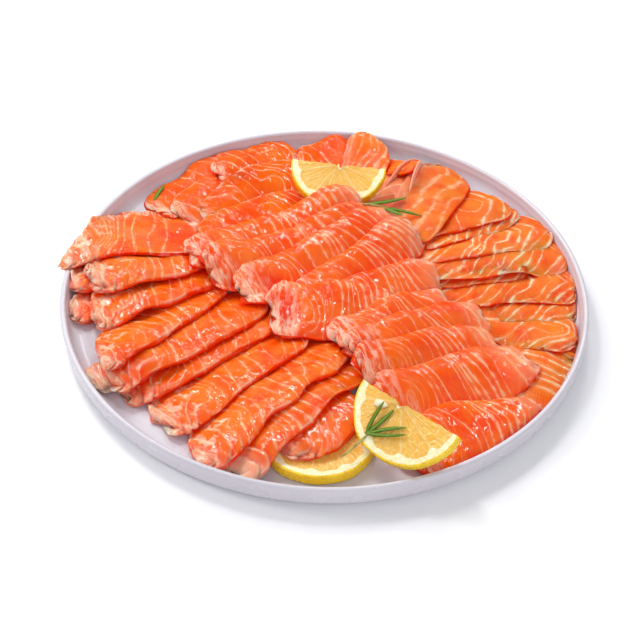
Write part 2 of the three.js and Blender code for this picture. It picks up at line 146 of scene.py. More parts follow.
class Nodes:
    """Adds nodes to one material and links them. Colours are given as 0 to 255 display values."""

    def __init__(self, name):
        self.material = bpy.data.materials.new(name)
        self.material.use_nodes = True
        self.tree = self.material.node_tree

    def feed(self, socket, value):
        if isinstance(value, bpy.types.NodeSocket):
            self.tree.links.new(value, socket)
        else:
            socket.default_value = value

    def add(self, kind, inputs, output=0, **settings):
        """An output of a new node, whose inputs are given in order or by name."""
        node = self.tree.nodes.new("ShaderNode" + kind)
        for key, value in settings.items():
            setattr(node, key, value)
        for key, value in inputs.items() if isinstance(inputs, dict) else enumerate(inputs):
            self.feed(node.inputs[key], value)
        return node.outputs[output]

    @property
    def place(self):
        return self.add("TexCoord", (), "Object")

    def __getitem__(self, name):
        """The value of a mesh attribute."""
        return self.add("Attribute", (), "Fac", attribute_name=name)

    def math(self, operation, *values):
        return self.add("Math", values, operation=operation)

    def times(self, first, *others):
        for other in others:
            first = self.math("MULTIPLY", first, other)
        return first

    def rest(self, value):
        return self.math("SUBTRACT", 1.0, value)

    def combined(self, *parts):
        return self.add("CombineXYZ", parts)

    def scaled(self, vector, factors):
        return self.add("VectorMath", (vector, factors), operation="MULTIPLY")

    def spread(self, value, low, high, to_low=0.0, to_high=1.0):
        """Maps low..high smoothly to to_low..to_high and holds the ends."""
        return self.add("MapRange", (value, low, high, to_low, to_high), interpolation_type="SMOOTHSTEP")

    def mix(self, amount, first, second):
        first, second = (linear(*part) if isinstance(part, tuple) else part for part in (first, second))
        return self.add("Mix", {0: amount, 6: first, 7: second}, 2, data_type="RGBA")

    def layers(self, colour, *layers):
        """A colour with further ones laid over it, each given as its amount and its colour."""
        for amount, over in layers:
            colour = self.mix(amount, colour, over)
        return colour

    def noise(self, vector, scale, detail=2.0, roughness=0.5):
        inputs = {"Vector": vector, "Scale": scale, "Detail": detail, "Roughness": roughness}
        return self.add("TexNoise", inputs)

    def clouds(self, vector, noise, *ends):
        """Noise given by its scale, detail and roughness, spread between ends."""
        return self.spread(self.noise(vector, *noise), *ends)

    def cells(self, vector, scale, **settings):
        return self.add("TexVoronoi", {"Vector": vector, "Scale": scale}, "Distance", **settings)

    def bump(self, height, distance, strength):
        return self.add("Bump", {"Height": height, "Distance": distance, "Strength": strength})

    def finish(self, **values):
        """The material, with its shader's sockets fed by name."""
        shader = self.tree.nodes["Principled BSDF"]
        for key, value in values.items():
            self.feed(shader.inputs[key.replace("_", " ")], value)
        return self.material


# -------- numbers on grids

def ripple(x, y, seed, waves=7):
    """Smooth repeatable unevenness from about -1 to 1, with features about 1 unit wide."""
    draw = np.random.default_rng(seed)
    total = np.zeros(np.broadcast(x, y).shape)
    for _ in range(waves):
        angle = draw.uniform(0, math.tau)
        rate = draw.uniform(1.2, 3.6)
        shift = draw.uniform(0, math.tau)
        total = total + np.sin(rate * (x * math.cos(angle) + y * math.sin(angle)) + shift)
    return total / math.sqrt(waves)


def smoothed(values, sigma, axis):
    """Values blurred along one axis by about sigma samples, with the ends held."""
    reach = max(int(3 * sigma), 1)
    weights = np.exp(-0.5 * (np.arange(-reach, reach + 1) / sigma) ** 2)
    weights /= weights.sum()
    padding = [(0, 0)] * values.ndim
    padding[axis] = (reach, reach)
    padded = np.pad(values, padding, mode="edge")
    return np.apply_along_axis(lambda line: np.convolve(line, weights, mode="valid"), axis, padded)


def turns(count):
    """Evenly spaced angles once round."""
    return np.linspace(0, math.tau, count, endpoint=False)


def held(values):
    """Values held between 0 and 1."""
    return np.clip(values, 0, 1)


def ramp(values, reach):
    """1 at nought, falling smoothly to 0 at reach."""
    part = held(1 - values / reach)
    return part * part * (3 - 2 * part)


def bell(values, width):
    return np.exp(-((values / width) ** 2))


def signed_power(value, power):
    return np.sign(value) * np.abs(value) ** power


# -------- meshes

def smooth_mesh(name, points, faces):
    mesh = bpy.data.meshes.new(name)
    mesh.from_pydata(points.tolist(), [], faces)
    mesh.shade_smooth()
    mesh.update()
    return mesh


def tube_mesh(name, points):
    """A closed tube of quads from points[station, ring, xyz], capped with a fan at each end."""
    stations, ring, _ = points.shape
    first = np.arange(stations - 1)[:, None] * ring
    here = np.arange(ring)[None, :]
    after = (here + 1) % ring
    quads = np.stack([first + here, first + ring + here, first + ring + after, first + after], -1)
    faces = quads.reshape(-1, 4).tolist()
    start = stations * ring
    last = start - ring
    faces += [(start, k, (k + 1) % ring) for k in range(ring)]
    faces += [(start + 1, last + (k + 1) % ring, last + k) for k in range(ring)]
    corners = np.vstack([points.reshape(-1, 3), points[0].mean(0), points[-1].mean(0)])
    return smooth_mesh(name, corners, faces)


def sheet_mesh(name, points, wrap):
    """Quads between the rows of points[row, column, xyz]; with wrap the last row joins the first."""
    rows, columns, _ = points.shape
    row = np.arange(rows if wrap else rows - 1)[:, None]
    column = np.arange(columns - 1)[None, :]
    here = row * columns + column
    there = (row + 1) % rows * columns + column
    quads = np.stack([here, here + 1, there + 1, there], -1).reshape(-1, 4)
    return smooth_mesh(name, points.reshape(-1, 3), quads.tolist())


def weld(mesh, cut=None):
    """Joins corners that lie on each other, drops faces of no area and turns all faces outward.

    With cut, the rows and columns of a sheet, its open ends are closed first.
    """
    work = bmesh.new()
    work.from_mesh(mesh)
    if cut:
        close_cut(work, *cut)
    bmesh.ops.remove_doubles(work, verts=work.verts, dist=2e-6)
    bmesh.ops.dissolve_degenerate(work, edges=work.edges, dist=1e-6)
    bmesh.ops.recalc_face_normals(work, faces=work.faces)
    work.to_mesh(mesh)
    work.free()
    mesh.update()


def give(mesh, **attributes):
    for name, values in attributes.items():
        values = np.broadcast_to(np.ravel(values), len(mesh.vertices)).astype(np.float32)
        mesh.attributes.new(name, "FLOAT", "POINT").data.foreach_set("value", values)


def mesh_arrays(mesh):
    """Corners in millimetres and triangles of a mesh."""
    corners = np.empty(len(mesh.vertices) * 3, np.float32)
    mesh.vertices.foreach_get("co", corners)
    mesh.calc_loop_triangles()
    triangles = np.empty(len(mesh.loop_triangles) * 3, np.int32)
    mesh.loop_triangles.foreach_get("vertices", triangles)
    return corners.reshape(-1, 3).astype(float) / MM, triangles.reshape(-1, 3)


def tree_of(meshes):
    """Meshes as one tree of triangles in millimetres."""
    corners, triangles, count = [], [], 0
    for mesh in meshes:
        points, faces = mesh_arrays(mesh)
        corners.append(points)
        triangles.append(faces + count)
        count += len(points)
    return BVHTree.FromPolygons(np.concatenate(corners).tolist(), np.concatenate(triangles).tolist())


def top_of(tree, x, y):
    """Height in millimetres of whatever is uppermost at a place."""
    hit = tree.ray_cast(Vector((x, y, RAY_START)), DOWN)[0]
    return hit.z if hit else PLATE_FLOOR


def place_in(node, part_x, part_y):
    """The place in millimetres, seen from above, at these parts of the width and depth of a CAD node."""
    low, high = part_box(node)
    return np.array([(low[k] + (high[k] - low[k]) * part) / MM for k, part in ((0, part_x), (1, part_y))])


def show(mesh, material, slot, *nodes):
    piece = link_object(mesh.name, mesh)
    mesh.materials.clear()
    mesh.materials.append(material)
    if nodes:
        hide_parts(*nodes)
    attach(piece, "root")


# -------- shape of a salmon strip

STATION_STEP = 0.85
RING = 72
SLICE_STEPS = 33
SLICE_REACH = 0.9
END_RADIUS = 3.0
END_CLUSTER = 9
STRETCH_REACH = 12
UNDER_SIDE = 0.2
UNDER_BOTTOM = 0.35
EDGE_WAVE = 0.9
EDGE_THICK = 0.7
SINK = 0.7
PLATE_FLOOR = 5.0
RAY_START = 90


def plan_axes(corners, lead):
    """Unit vector along a strip's length, pointing the way of lead, and one to its left, seen from above."""
    plan = corners[:, :2] - corners[:, :2].mean(0)
    along = np.linalg.eigh(plan.T @ plan)[1][:, -1]
    along = along * np.sign(along @ lead)
    return along, np.array([-along[1], along[0]])


def slice_outline(corners, triangles, along, left, distance):
    """The segments, as (place across, height) pairs, in which a plane across the strip cuts its solid."""
    s = corners[:, :2] @ along - distance
    places = np.column_stack([corners[:, :2] @ left, corners[:, 2]])
    edges = np.stack([triangles, np.roll(triangles, -1, 1)], -1).reshape(-1, 2)
    a, b = edges[(s[edges] > 0).sum(1) == 1].T
    part = (s[a] / (s[a] - s[b]))[:, None]
    return (places[a] + (places[b] - places[a]) * part).reshape(-1, 2, 2)


def heights_at(segments, place):
    """Lowest and highest point of a cut outline at a place across it."""
    t0, t1 = segments[:, 0, 0], segments[:, 1, 0]
    z0, z1 = segments[:, 0, 1], segments[:, 1, 1]
    crossing = (np.minimum(t0, t1) <= place) & (np.maximum(t0, t1) >= place) & (np.abs(t1 - t0) > 1e-6)
    part = (place - t0[crossing]) / (t1[crossing] - t0[crossing])
    z = z0[crossing] + (z1[crossing] - z0[crossing]) * part
    return z.min(), z.max()


class StripShape:
    """The middle line, half width, underside and top of a CAD strip, sampled along and across it."""

    def __init__(self, node, lead):
        corners, triangles = mesh_arrays(frame["nodes"][node].data)
        self.along, self.left = plan_axes(corners, lead)
        reach = corners[:, :2] @ self.along
        self.start = reach.min()
        self.length = reach.max() - self.start
        count = max(int(self.length / 2), 12)
        self.samples = np.linspace(0.3, self.length - 0.3, count)
        self.across = np.linspace(-SLICE_REACH, SLICE_REACH, SLICE_STEPS)
        rows = []
        for distance in self.samples:
            outline = slice_outline(corners, triangles, self.along, self.left, self.start + distance)
            nearest, furthest = outline[:, :, 0].min(), outline[:, :, 0].max()
            middle, half = (nearest + furthest) / 2, (furthest - nearest) / 2
            low, high = zip(*(heights_at(outline, middle + half * place) for place in self.across))
            rows.append((middle, half, low, high))
        middle, half, low, high = (np.array(values) for values in zip(*rows))
        sigma = 4.0 / (self.length / count)
        self.middle = smoothed(middle, sigma, 0)
        self.half = smoothed(half, 0.6 * sigma, 0)
        self.low = smoothed(smoothed(low, 0.6 * sigma, 0), 1.5, 1)
        self.high = smoothed(smoothed(high, sigma, 0), 3.0, 1)

    def field(self, values, stations, across):
        """One of the sampled height fields at stations along the strip and places across it."""
        rows = np.array([np.interp(stations, self.samples, column) for column in values.T]).T
        return np.array([np.interp(across, self.across, row) for row in rows])


def end_distances(length):
    """Places along a strip for its sections, closer together where its ends round off."""
    quarter = 1 - np.cos(np.linspace(0.12, math.pi / 2, END_CLUSTER, endpoint=False))
    start = END_RADIUS * quarter
    count = max(int((length - 2 * END_RADIUS) / STATION_STEP), 4)
    middle = np.linspace(END_RADIUS, length - END_RADIUS, count)
    return np.concatenate([start, middle, (length - start)[::-1]])


def ring_places(round_side, round_top):
    """Places across and up of the corners of a strip's section, rounded off by powers above."""
    angle = turns(RING)
    above = np.sin(angle) > -1e-9
    across = np.where(above, signed_power(np.cos(angle), round_side), signed_power(np.cos(angle), UNDER_SIDE))
    up = np.where(above, signed_power(np.sin(angle), round_top), signed_power(np.sin(angle), UNDER_BOTTOM))
    return across, up


def strip_surface(shape, style, food, seed):
    """A smooth strip: its points [station, ring, xyz] in millimetres, and where each one lies.

    `across` runs to +1 at the edge that shows, and `up` from -1 underneath to +1 on top.
    """
    round_side, round_top, crown = style.section
    side = 1 if style.edge_left else -1
    stations = end_distances(shape.length)
    across, up = ring_places(round_side, round_top)
    distance, across = np.meshgrid(stations, across, indexing="ij")
    up = np.tile(up, (len(stations), 1))
    from_end = np.minimum(stations, shape.length - stations)
    full = np.sqrt(1 - (1 - held(from_end / END_RADIUS)) ** 2)[:, None]
    half = np.interp(stations, shape.samples, shape.half)[:, None]
    middle = np.interp(stations, shape.samples, shape.middle)[:, None]

    wave = EDGE_WAVE * ripple(distance / 15, 2 * np.sign(across), seed)
    wave = wave * held(np.abs(across) * 1.5 - 0.3)
    reach = np.maximum(half - END_RADIUS * (1 - full) * 0.8 + wave, 0.4)
    spread = style.spread * (0.7 * across + 0.3 * np.abs(across)) * full
    t = middle + side * across * reach + side * spread
    near, far = style.stretch
    s = shape.start + distance - near * ramp(distance, STRETCH_REACH)
    s = s + far * ramp(shape.length - distance, STRETCH_REACH)
    plan = s[..., None] * shape.along + t[..., None] * shape.left

    low = np.maximum(shape.field(shape.low, stations, across[0] * side) - SINK, PLATE_FLOOR)
    high = shape.field(shape.high, stations, across[0] * side) + crown * (1 - across**2) * full
    edge = np.argmax(across[0])
    beside = [top_of(food, *place) for place in plan[:, edge] + side * shape.left]
    fall = np.clip(high[:, edge] - np.array(beside) - EDGE_THICK, 0, style.drape)
    high = high - smoothed(fall, 3.0, 0)[:, None] * ramp(1 - across, 0.8)
    high = np.maximum(high, low + 1)
    z = (low + high) / 2 + (high - low) / 2 * up * full
    points = np.concatenate([plan, z[..., None]], -1)
    if style.edge_left:
        points, distance, across, up = (values[:, ::-1] for values in (points, distance, across, up))
    length = shape.length
    places = {"distance": distance, "left": length - distance, "across": across, "up": up, "half": half}
    return SimpleNamespace(points=points, length=length, **places)


def surface_normals(points):
    """Outward normals of a closed tube of points [station, ring, xyz]."""
    around = np.roll(points, -1, 1) - np.roll(points, 1, 1)
    normal = np.cross(np.gradient(points, axis=0), around)
    return normal / np.maximum(np.linalg.norm(normal, axis=2, keepdims=True), 1e-9)


# -------- kinds of strip

# How a strip lies and how its pale fat lines run. Places along it are parts of its length, counted
# from its first end; across it they run from -1 to 1 at the edge that shows; the rest is in mm.
#   lead      the way, seen from above, from its first end to the other
#   edge_left whether the edge that shows is on the left of that way
#   spread    how far that edge lies over what is beside it, and drape how far it sinks towards it
#   stretch   how far each end reaches further
#   section   powers that round off its sides and its top, and how far the middle bulges
#   spacing   gap between lines at the first end and at the other, and the place where it changes
#   tilt      how far a line leans along the strip between its middle and the edge that shows
#   chevron   how far a line turns back along the strip from its middle to both edges
#   rake      lines that run along the strip instead: their gap, and the gap along it
#   bend      how far the middle of a line bulges towards the other end
#   wander    how far a line strays along the strip
#   eyes      closed loops: along, across, half length, half width as a part, lines that it adds
#   fans      lines that meet at one edge and spread: along, lines, narrowest gap, widest gap, edge
#   width     width of a line at the first end and at the other
#   strength  how plainly lines show at the first end and at the other
#   fray      length of the torn pale part at each end, and rear_fray how torn the other edge is
#   lobes     lobes across the first end for each half width, how deep, and how far in they reach
#   pale      length and amount of a smooth pink tint at the first end, and tip at the other
#   edge_tint how greyish pink the edge that shows is, and membrane the whole strip
#   spots     pale fat patches with painted glare: part of the length that has them, and how plainly
#   flakes    depth of the steps between flakes at the first end and their reach, and ribs at the other
#   split     depth of a cleft along the side that shows, near the first end
#   dents     hollows, with painted shade in them: along, across, half length, half width as a part, depth
#   veil      how strongly a pale peach sheen of light is painted on the upper side
#   hatch     how plainly fine slanting strokes show
#   wet       how plainly its wet coat shows
PLAIN = dict(
    edge_left=False, drape=0, stretch=(0, 0), chevron=0, rake=None, bend=0, wander=1.9, eyes=[], fans=[],
    lobes=(1, 0, 1), rear_fray=0, pale=(1, 0), tip=(1, 0), edge_tint=0, membrane=0, spots=(1, 0), ribs=(0, 1),
    split=0, dents=[], hatch=0, wet=1,
)
GROUPS = dict(
    west=dict(
        lead=(1, 0.8), section=(0.2, 0.24, 0.0), spread=0.9, drape=1.6, spacing=(6.5, 9, 0.5), tilt=5, bend=2,
        wander=2.2, eyes=[(0.27, 0.1, 8, 0.55, -1.8)], width=(2.0, 0.8), strength=(0.85, 0.4), fray=(8, 0),
        flakes=(2.4, 28), veil=0.4, pale=(9, 0.3), spots=(0.75, 0.45), lobes=(1.3, 1.5, 18),
    ),
    east=dict(
        lead=(1, 0.2), section=(0.25, 0.35, 0.0), spread=4.0, drape=7, stretch=(5, 1), spacing=(9, 8, 0.5),
        tilt=2, chevron=20, wander=0.6, width=(1.6, 1.4), strength=(1.2, 1.3), fray=(0, 1.5),
        flakes=(0.2, 10), veil=0.6, hatch=0.3, wet=0.3,
    ),
    north=dict(
        lead=(1, 0.6), edge_left=True, section=(0.35, 0.5, 0.3), spread=2.0, drape=2.5, spacing=(9, 7, 0.7),
        tilt=5, bend=2, eyes=[(0.72, 0.1, 8, 0.5, -1.6)], width=(0.9, 0.9), strength=(0.9, 0.9), fray=(6, 0),
        flakes=(0.8, 14), veil=0.1, wet=0.55,
    ),
    centre=dict(
        lead=(1, 0.5), edge_left=True, section=(0.6, 0.85, 2.2), spread=0.6, spacing=(8, 4.6, 0.68), tilt=3,
        bend=2.5, eyes=[(0.25, 0.0, 8.5, 0.6, -2.1)], fans=[(0.6, 2.2, 1.5, 10, 1)], width=(0.7, 1.9),
        strength=(0.55, 0.8), fray=(16, 3), flakes=(1.3, 14), ribs=(0.7, 30), veil=0.1, tip=(18, 0.3),
        lobes=(1.6, 1.6, 14),
    ),
)
STRIPS = dict(
    east_02=dict(stretch=(13, 1), spacing=(4.8, 5, 0.5), chevron=0, width=(2.2, 1.8), strength=(1, 1),
                 hatch=0.2),
    east_03=dict(stretch=(13, 1), section=(0.5, 0.7, 0.8), spread=3.0, chevron=8,
                 eyes=[(0.75, 0.0, 8, 0.5, -2.0)]),
    east_10=dict(chevron=3, spacing=(15, 13, 0.5), eyes=[(0.74, 0.0, 10, 0.6, -1.8)], veil=0.3),
    east_11=dict(edge_tint=0.8),
    east_12=dict(edge_left=True, membrane=0.75),
    east_13=dict(edge_left=True, edge_tint=0.8, rake=(9, 70), chevron=0, width=(2.8, 2.8),
                 strength=(0.6, 0.6)),
    north_08=dict(rake=(5, 26), width=(1.6, 1.6), edge_tint=0.7, veil=0.6),
    west_02=dict(pale=(16, 0.75)),
    west_04=dict(split=2.2),
    west_06=dict(pale=(40, 0.7)),
    west_07=dict(split=1.2),
    west_09=dict(pale=(12, 0.5)),
    west_13=dict(fans=[(0.2, 7, 3, 14, 1)], spacing=(9, 9, 0.5), width=(1.4, 1.0), stretch=(7, 7),
                 rear_fray=0.9, dents=[(0.9, 0.3, 12, 0.8, 2.0)]),
    centre_03=dict(dents=[(0.2, -0.35, 9, 0.5, 3)]),
    centre_06=dict(dents=[(0.12, -0.2, 7, 0.5, 4)]),
    centre_10=dict(stretch=(0, 7)),
)

# Unevenness of the flesh: height and length in mm, and how fast it changes across and up.
LUMPS = [(0.50, 14, 1.2, 1), (0.28, 6, 2.2, 1), (0.12, 2.4, 6, 2)]
GROOVE_HALF = 0.8
TONE_STEP = 0.618


def bulge(strip, place, at, half_long, half_wide):
    """1 at a place on a strip, falling smoothly to 0 outside the half length and half width."""
    along = (strip.distance - place * strip.length) / half_long
    return np.exp(-(along**2 + ((strip.across - at) / half_wide) ** 2))


def grain_field(style, strip, seed):
    """A field over a strip whose whole numbers are its fat lines."""
    distance, across = strip.distance, strip.across
    sway = across + 0.10 * ripple(distance / 9, across * 1.5, seed + 1)
    along = distance + style.wander * ripple(distance / 14, across * 1.1, seed)
    along = along + style.tilt * across - style.bend * (1 - across**2)
    along = along + style.chevron * np.sqrt(sway**2 + 0.06)
    if style.rake:
        gap, gap_along = style.rake
        return sway * strip.half / gap + along / gap_along
    first, last, change = style.spacing
    ease = 0.08 * strip.length
    turned = ease * np.logaddexp(0, (along - change * strip.length) / ease)
    total = along / first + turned * (1 / last - 1 / first)
    total = total + 0.22 * ripple(along / 7, across * 0.8, seed + 9)
    swayed = SimpleNamespace(distance=distance, across=sway, length=strip.length)
    for *where, lines in style.eyes:
        total = total + lines * bulge(swayed, *where)
    for place, lines, narrow, wide, edge in style.fans:
        opening = narrow + (wide - narrow) * (1 - np.clip(sway * edge, -1, 1)) / 2
        total = total + lines * 0.5 * np.tanh((along - place * strip.length) / opening)
    return total


def field_rate(field, strip):
    """How fast a field on a strip changes, per mm."""
    step_along = np.maximum(np.gradient(strip.distance, axis=0), 1e-3)
    step_across = np.maximum(np.abs(np.gradient(strip.across, axis=1)) * strip.half, 0.15)
    rise_along = np.gradient(field, axis=0) / step_along
    rise_across = np.gradient(field, axis=1) / step_across
    return np.clip(np.hypot(rise_along, rise_across), 0.02, 3)


def fray_field(style, strip, seed):
    """How torn and pale a strip is, from 0 to 1."""
    ragged = 0.35 * ripple(strip.distance / 3, strip.across * 2.5, seed + 7)
    fray = style.rear_fray * held(1.1 - (1 + strip.across) * strip.half / 5 + ragged)
    for reach, gone in zip(style.fray, (strip.distance, strip.left)):
        if reach:
            fray = np.maximum(fray, held(1.2 - gone / reach + ragged))
    return fray


def strip_relief(style, strip, grain, rate, flaky, fray, hollow, seed):
    """How far a strip's surface stands out from its smooth shape, in mm."""
    distance, across, up = strip.distance, strip.across, strip.up
    outer = held(up * 2 + 1)
    groove = bell(np.abs(grain - np.round(grain)) / rate, GROOVE_HALF)
    step = (grain - np.floor(grain) - 0.5) * flaky
    relief = 0.9 * fray * outer * ripple(distance / 3.5, across * 3 + up, seed + 5)
    for number, (height, length, on_across, on_up) in enumerate(LUMPS, 2):
        relief = relief + height * ripple(distance / length, across * on_across + on_up * up, seed + number)
    relief = relief + outer * (step - hollow - groove * (0.18 + 0.7 * flaky))
    cleft = style.split * bell(up - 0.1 * ripple(distance / 8, 0 * up, seed + 6), 0.3)
    return relief - cleft * ramp(distance, 0.5 * strip.length) * held(across * 4 - 2)


def carve_end(style, shape, strip, seed):
    """Cuts the first end of a strip into lobes and leaves its rim torn."""
    distance, across, up = strip.distance, strip.across, strip.up
    waves, depth, reach = style.lobes
    lobe = np.abs(np.sin(math.pi * (waves * across + 0.37 * seed)))
    valley = depth * 0.8 * bell(lobe, 0.3) * ramp(distance, reach) * held(up * 2 + 1)
    strip.points = strip.points - strip.normals * valley[..., None]
    torn = 1.8 * ripple(across * 3.5, 0.6 * up, seed + 8) if style.fray[0] else 0
    for pull in (depth * (lobe - 0.5) * ramp(distance, 6), torn * ramp(distance, 5)):
        strip.points[..., :2] -= pull[..., None] * shape.along


def strip_mesh(node, food, number):
    name = node.removeprefix("salmon_")
    style = SimpleNamespace(**{**PLAIN, **GROUPS[name.split("_")[0]], **STRIPS.get(name, {})})
    shape = StripShape(node, style.lead)
    strip = strip_surface(shape, style, food, number)
    strip.normals = surface_normals(strip.points)
    distance, across, up, left = strip.distance, strip.across, strip.up, strip.left
    part = distance / strip.length
    grain = grain_field(style, strip, number)
    rate = field_rate(grain, strip)
    fray = fray_field(style, strip, number)

    def between(first, last):
        return first + (last - first) * part

    flake_depth, flake_reach = style.flakes
    rib_depth, rib_reach = style.ribs
    flaky = flake_depth * ramp(distance, flake_reach) * (0.5 + 0.5 * held(across * 1.5))
    flaky = flaky + rib_depth * ramp(left, rib_reach)
    hollow = sum((depth * bulge(strip, *where) for *where, depth in style.dents), 0 * up)
    relief = strip_relief(style, strip, grain, rate, flaky, fray, hollow, number)
    strip.points = strip.points + strip.normals * relief[..., None]
    carve_end(style, shape, strip, number)

    mesh = tube_mesh(node.replace("salmon", "slice"), strip.points * MM)
    fields = dict(
        along=distance, across=across * strip.half, up=up, grain=grain, grain_rate=rate,
        line_width=between(*style.width),
        line_strength=between(*style.strength) * held(np.minimum(distance, left) / 3.5),
        glow=sum((bulge(strip, *where) for *where, _ in style.eyes), 0 * up),
        # How deep a dent is, which the flesh also paints as shade
        fray=fray, hollow=held(hollow / 2.5),
        flaky=held(flaky) * held(up * 2 + 1),
        edge=held(1.2 - (1 - across) * strip.half / 1.2) * held(up * 4),
        edge_tint=np.maximum(style.edge_tint * held(across * 2.5 - 1.2), style.membrane),
        pale=style.pale[1] * ramp(distance, style.pale[0]),
        tip=style.tip[1] * ramp(left, style.tip[0]),
        spots=style.spots[1] * ramp(distance, style.spots[0] * strip.length),
    )
    give(mesh, **{key: np.append(field, field[[0, -1]].mean(1)) for key, field in fields.items()})
    give(mesh, veil=style.veil, hatch=style.hatch, wet=style.wet, tone=number * TONE_STEP % 1)
    return mesh


# -------- flesh

CREASE_REACH = 0.007

# The upturned lip where two slices at the back are folded together: its line, as places in CAD nodes.
FOLD = [
    ("salmon_east_12", 0.30, 0.58), ("salmon_east_12", 0.52, 0.84), ("salmon_east_12", 0.78, 1.02),
    ("salmon_east_13", 0.40, 0.93), ("salmon_east_13", 0.30, 0.74), ("salmon_east_13", 0.21, 0.48),
]
FOLD_LIFT = 5.0
FOLD_SUNK = 2.6
FOLD_WIDTH = 3.2
FOLD_THICK = 3.4


def fat_lines(n, flow):
    """How plainly a fat line shows, how far on from one a place lies, and a number for each line."""
    wobble = n.math("SUBTRACT", n.noise(flow, 0.55, 3), 0.5)
    grain = n.math("MULTIPLY_ADD", wobble, 0.20, n["grain"])
    nearest = n.math("ROUND", grain)
    offset = n.math("SUBTRACT", grain, nearest)
    away = n.math("DIVIDE", n.math("ABSOLUTE", offset), n["grain_rate"])
    each = n.math("MULTIPLY_ADD", n["tone"], 40, nearest)
    each = n.add("TexWhiteNoise", {"W": each}, "Value", noise_dimensions="1D")
    vary = n.clouds(flow, (0.16, 1), 0.3, 0.7, 0.25, 0.75)
    width = n.times(vary, n.spread(each, 0, 1, 0.6, 1.3), n["line_width"])
    core = n.spread(away, width, n.times(width, 0.35))
    halo = n.spread(away, n.times(width, 2.6), 0.0, 0.0, 0.3)
    patchy = n.times(n.clouds(flow, (0.22, 2), 0.3, 0.58, 0.2, 1.0), n.spread(each, 0, 0.6, 0.45, 1))
    patchy = n.times(patchy, n.math("MULTIPLY_ADD", n["glow"], -0.55, 1))
    shown = n.times(n.spread(n["up"], -0.35, 0.25), n["line_strength"])
    return n.times(n.math("MAXIMUM", core, halo), patchy, shown), offset, each


def hatching(n, flow):
    """Fine slanting strokes."""
    inputs = {"Vector": n.scaled(flow, (0.5, 0.9, 0.0)), "Scale": 0.55, "Distortion": 2.0, "Detail": 2}
    strokes = n.add("TexWave", inputs, "Fac", wave_type="BANDS", bands_direction="DIAGONAL")
    return n.spread(strokes, 0.5, 1.0, 0.0, 0.5)


def flesh_material():
    n = Nodes("flesh")
    flow = n.combined(n["along"], n["across"], n["up"])
    fray = n["fray"]
    up = n["up"]
    on_top = n.spread(up, 0.35, 0.9)
    line, offset, each = fat_lines(n, flow)
    fibres = n.noise(n.scaled(flow, (1.6, 0.22, 1.0)), 1.0, 4, 0.6)
    grit = n.noise(n.scaled(flow, (0.8, 0.22, 0.8)), 0.8, 4, 0.6)
    # Painted shade: deeper red where occlusion finds creases, in the dents and on the lower sides
    closed = n.spread(n.add("AmbientOcclusion", {"Distance": CREASE_REACH}, "AO", samples=6), 0.85, 0.25)
    deep = n.math("MAXIMUM", closed, n["hollow"])
    deep = n.math("MAXIMUM", n.spread(up, 0.7, -0.2, 0.0, 0.85), deep)
    # Painted shade just past each fat line on flaky parts, as if each flake overhung the next
    painted_flake_shade = n.times(n.spread(offset, 0.0, 0.05), n.spread(offset, 0.4, 0.05))
    painted_flake_shade = n.times(painted_flake_shade, n["flaky"], n.spread(each, 0, 0.7, 0.2, 0.9))
    # Pale patches on the upper side, partly fat and partly a painted glare highlight
    spot = n.spread(n.noise(n.scaled(flow, (1, 1.3, 1)), 0.13, 1), 0.60, 0.66)
    seam = n.times(n["edge"], n.clouds(flow, (0.14, 2), 0.42, 0.6, 0.0, 0.5))
    torn = n.times(fray, n.spread(up, -0.1, 0.35), n.rest(closed), n.spread(grit, 0.40, 0.56))
    colour = n.layers(
        n.mix(n.clouds(n.place, (55, 3), 0.3, 0.7), (234, 54, 0), (239, 98, 0)),
        (n.spread(n["tone"], 0.0, 1.0, 0.0, 0.4), (243, 80, 0)),
        (n.spread(fibres, 0.42, 0.68, 0.0, 0.3), (250, 126, 34)),
        (n.times(n["glow"], 0.7), (250, 116, 8)),
        (n["edge_tint"], (226, 138, 114)),
        # Painted sheen: pale peach light painted on the upper side only
        (n.times(n["veil"], on_top, n.clouds(n.place, (90, 3), 0.3, 0.7)), (250, 134, 48)),
        # painted shade in creases, dents and on the lower sides
        (n.times(deep, 0.9), (255, 40, 0)),
        (painted_flake_shade, (244, 36, 0)),
        (n.times(line, 0.85), (255, 204, 160)),
        (n.times(spot, n["spots"], on_top), (255, 214, 182)),
        (n.times(seam, n.rest(closed)), (255, 206, 178)),
        (n.times(n["tip"], on_top), (255, 190, 150)),
        (n.times(hatching(n, flow), n["hatch"], on_top), (255, 176, 124)),
        (n.math("MAXIMUM", n.times(torn, 0.85), n["pale"]), (255, 198, 172)),
    )
    height = n.math("MULTIPLY_ADD", line, 0.4, n.times(fibres, 0.35))
    height = n.math("ADD", height, n.times(grit, fray, 1.6))
    height = n.math("ADD", height, n.times(n.noise(flow, 0.9, 3, 0.6), 0.5))
    film = n.noise(n.scaled(flow, (1, 0.6, 1)), 0.26, 1, 0.4)
    film = n.math("MULTIPLY_ADD", n.times(grit, fray), 0.5, film)
    return n.finish(
        Base_Color=colour,
        Roughness=n.clouds(n.place, (160, 2), 0.3, 0.7, 0.2, 0.34),
        Subsurface_Weight=0.8,
        Subsurface_Radius=(1.0, 0.25, 0.14),
        Subsurface_Scale=0.0072,
        Specular_IOR_Level=0.0,
        Coat_Weight=n.times(n.clouds(n.place, (60, 2), 0.35, 0.62, 0.4, 0.95), n["wet"]),
        Coat_Roughness=0.05,
        Coat_IOR=1.5,
        Coat_Normal=n.bump(film, 0.0026, 1.0),
        Normal=n.bump(height, 0.0006, 0.6),
    )


